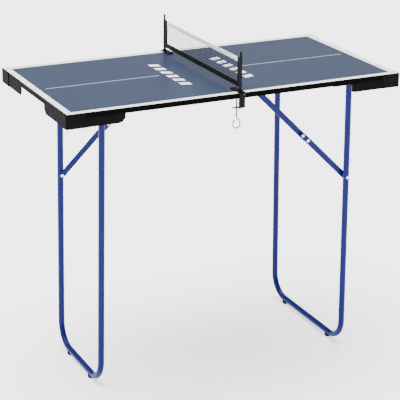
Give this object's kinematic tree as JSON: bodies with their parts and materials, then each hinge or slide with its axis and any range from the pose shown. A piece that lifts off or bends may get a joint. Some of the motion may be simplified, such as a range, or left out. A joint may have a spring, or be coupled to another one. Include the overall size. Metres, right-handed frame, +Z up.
{
  "type": "mini ping pong table",
  "caption": "Small folding table tennis table with a painted board, two U-shaped tube leg frames, folding stays and a clamp-on net",
  "frame": {"origin": "on the floor, under the centre of the table", "axes": "+X along the table towards the wide leg frame, +Y across it towards the back, +Z up"},
  "size_m": [0.903, 0.4596, 0.8605],
  "materials": {
    "court_blue": "satin painted board",
    "print_white": "matte printed film",
    "edge_black": "extruded plastic, satin",
    "moulding_black": "moulded plastic, fine grain",
    "bracket_black": "black zinc-plated and painted steel",
    "tube_blue": "gloss powder coat",
    "steel_bright": "zinc plated",
    "washer_white": "nylon",
    "plug_black": "moulded plastic",
    "foot_rubber": "matte rubber",
    "clamp_black": "black enamel",
    "pad_black": "moulded plastic",
    "rod_black": "black enamel",
    "net_mesh": "knotted netting",
    "tape_white": "woven tape",
    "tape_black": "woven tape"
  },
  "bodies": {
    "table": {"table_board": "court_blue", "court_print": "print_white", "edge_band_front": "edge_black", "edge_band_back": "edge_black", "edge_band_left": "edge_black", "edge_band_right": "edge_black", "corner_front_left": "moulding_black", "corner_back_left": "moulding_black", "corner_front_right": "moulding_black", "corner_back_right": "moulding_black", "corner_screws": "steel_bright", "bracket_narrow_front": "bracket_black", "bracket_narrow_back": "bracket_black", "bracket_wide_front": "bracket_black", "bracket_wide_back": "bracket_black", "bracket_screws": "steel_bright", "pivot_bolts": "steel_bright", "pivot_nuts": "steel_bright", "pivot_washers": "washer_white", "stay_bracket_narrow": "bracket_black", "stay_bracket_wide": "bracket_black", "stay_bracket_screws": "steel_bright", "stay_top_rivet_narrow": "steel_bright", "stay_top_rivet_wide": "steel_bright", "net_clamp_front": "clamp_black", "net_clamp_back": "clamp_black", "clamp_rivets": "steel_bright", "net_rod_front": "rod_black", "net_rod_back": "rod_black"},
    "leg_narrow": {"leg_tube_narrow": "tube_blue", "leg_plugs_narrow": "plug_black", "foot_narrow_front": "foot_rubber", "foot_narrow_back": "foot_rubber", "stay_leg_rivet_narrow": "steel_bright"},
    "stay_upper_narrow": {"stay_upper_narrow": "tube_blue", "stay_collar_narrow": "steel_bright"},
    "stay_lower_narrow": {"stay_lower_narrow": "tube_blue", "stay_mid_rivet_narrow": "steel_bright", "stay_stop_pin_narrow": "steel_bright"},
    "leg_wide": {"leg_tube_wide": "tube_blue", "leg_plugs_wide": "plug_black", "foot_wide_front": "foot_rubber", "foot_wide_back": "foot_rubber", "stay_leg_rivet_wide": "steel_bright"},
    "stay_upper_wide": {"stay_upper_wide": "tube_blue", "stay_collar_wide": "steel_bright"},
    "stay_lower_wide": {"stay_lower_wide": "tube_blue", "stay_mid_rivet_wide": "steel_bright", "stay_stop_pin_wide": "steel_bright"},
    "clamp_pad_front": {"clamp_pad_front": "pad_black"},
    "clamp_screw_front": {"clamp_screw_front": "steel_bright"},
    "clamp_pad_back": {"clamp_pad_back": "pad_black"},
    "clamp_screw_back": {"clamp_screw_back": "steel_bright"},
    "net": {"net_mesh": "net_mesh", "net_top_tape": "tape_white", "net_bottom_tape": "tape_black", "net_hem_front": "tape_black", "net_hem_back": "tape_black"}
  },
  "joints": [
    {"name": "fold_leg_narrow", "type": "hinge", "parent": "table", "child": "leg_narrow", "pos_m": [-0.328, 0, 0.7355], "axis": [0, -1, 0], "range_deg": [0, 91]},
    {"name": "fold_stay_upper_narrow", "type": "hinge", "parent": "table", "child": "stay_upper_narrow", "pos_m": [-0.0785, 0, 0.7355], "axis": [0, -1, 0], "range_deg": [-44.6, 0]},
    {"name": "fold_stay_lower_narrow", "type": "hinge", "parent": "leg_narrow", "child": "stay_lower_narrow", "pos_m": [-0.33235, 0, 0.48604], "axis": [0, -1, 0], "range_deg": [0, 44.6]},
    {"name": "fold_leg_wide", "type": "hinge", "parent": "table", "child": "leg_wide", "pos_m": [0.328, 0, 0.7355], "axis": [0, 1, 0], "range_deg": [0, 91]},
    {"name": "fold_stay_upper_wide", "type": "hinge", "parent": "table", "child": "stay_upper_wide", "pos_m": [0.0785, 0, 0.7355], "axis": [0, 1, 0], "range_deg": [-44.6, 0]},
    {"name": "fold_stay_lower_wide", "type": "hinge", "parent": "leg_wide", "child": "stay_lower_wide", "pos_m": [0.33235, 0, 0.48604], "axis": [0, 1, 0], "range_deg": [0, 44.6]},
    {"name": "press_pad_front", "type": "slide", "parent": "table", "child": "clamp_pad_front", "axis": [0, 0, -1], "range_m": [0, 0.008]},
    {"name": "turn_screw_front", "type": "hinge", "parent": "clamp_pad_front", "child": "clamp_screw_front", "pos_m": [0, -0.2, 0.7], "axis": [0, 0, 1], "range_deg": [0, 3610]},
    {"name": "press_pad_back", "type": "slide", "parent": "table", "child": "clamp_pad_back", "axis": [0, 0, -1], "range_m": [0, 0.008]},
    {"name": "turn_screw_back", "type": "hinge", "parent": "clamp_pad_back", "child": "clamp_screw_back", "pos_m": [0, 0.2, 0.7], "axis": [0, 0, 1], "range_deg": [0, 3610]},
    {"name": "lift_net", "type": "slide", "parent": "table", "child": "net", "axis": [0, 0, 1], "range_m": [0, 0.095]}
  ],
  "couplings": [
    {"joint": "fold_stay_upper_narrow", "follows": "fold_leg_narrow", "ratio": -0.48901},
    {"joint": "fold_stay_lower_narrow", "follows": "fold_leg_narrow", "ratio": 0.48901},
    {"joint": "fold_stay_upper_wide", "follows": "fold_leg_wide", "ratio": -0.48901},
    {"joint": "fold_stay_lower_wide", "follows": "fold_leg_wide", "ratio": 0.48901},
    {"joint": "turn_screw_front", "follows": "press_pad_front", "rad_per_m": 7854},
    {"joint": "turn_screw_back", "follows": "press_pad_back", "rad_per_m": 7854}
  ]
}
